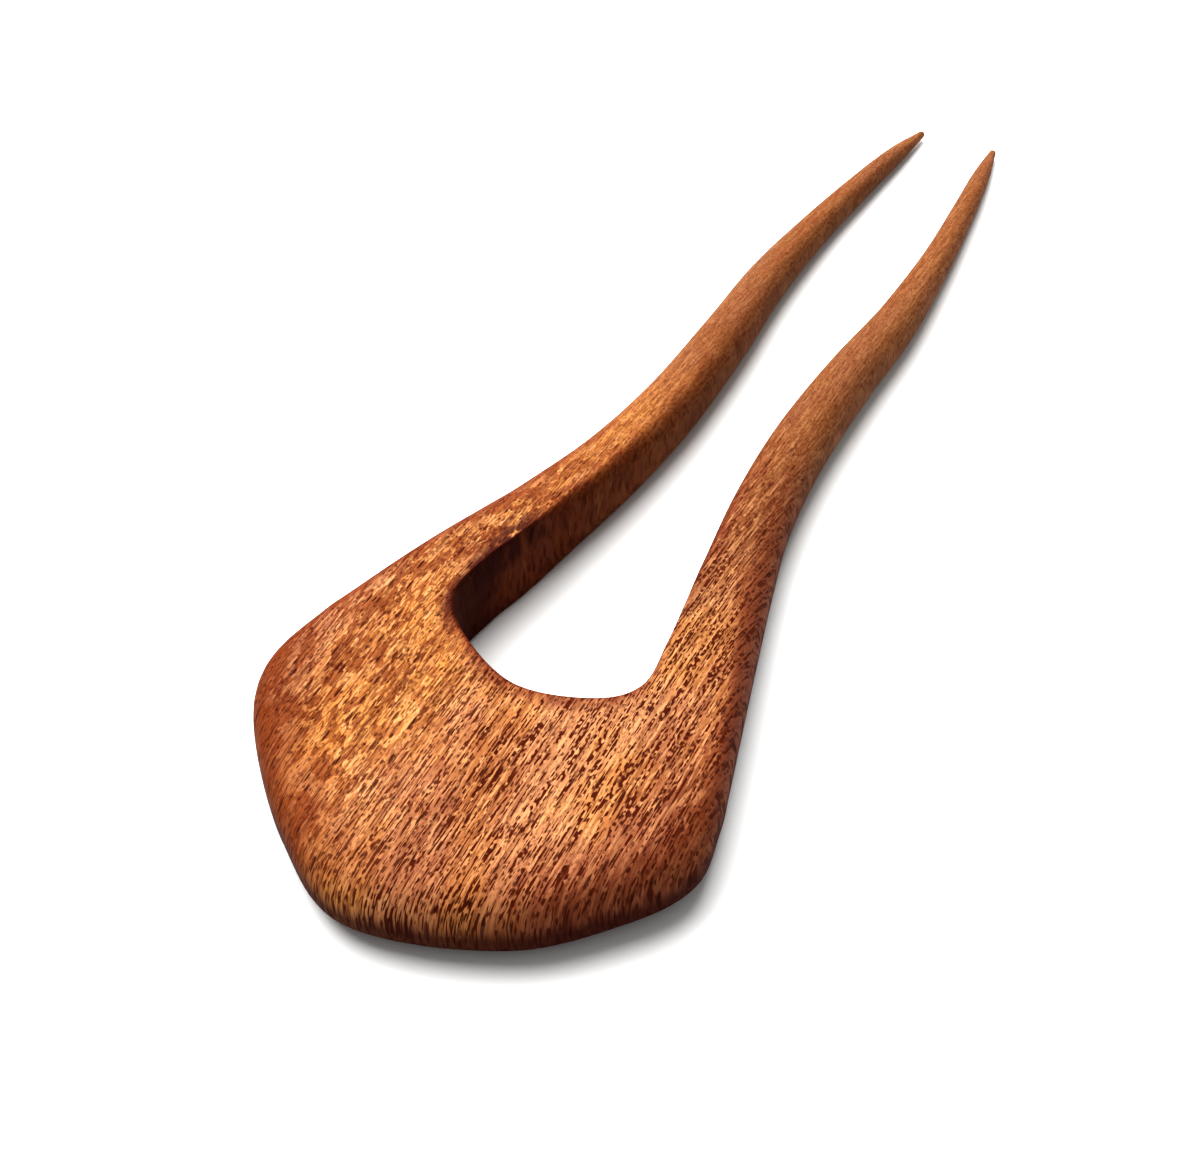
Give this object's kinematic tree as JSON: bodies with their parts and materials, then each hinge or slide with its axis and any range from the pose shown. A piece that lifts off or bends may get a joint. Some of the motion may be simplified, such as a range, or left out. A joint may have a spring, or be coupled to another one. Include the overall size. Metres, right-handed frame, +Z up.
{
  "type": "hair fork",
  "caption": "Carved wooden hair fork: a broad, softly pointed head narrows into long waved prongs that push through a bun or twist of hair and hold it.",
  "frame": {"origin": "under the middle of the fork's outline, on the surface that its flat underside lies on", "axes": "+X across the head, +Y from the head's blunt point to the prong tips, +Z up through the thickness"},
  "size_m": [0.0448, 0.14, 0.009],
  "materials": {
    "oiled_wood": "oiled satin, open pores"
  },
  "bodies": {
    "root": {"fork": "oiled_wood"}
  },
  "joints": []
}
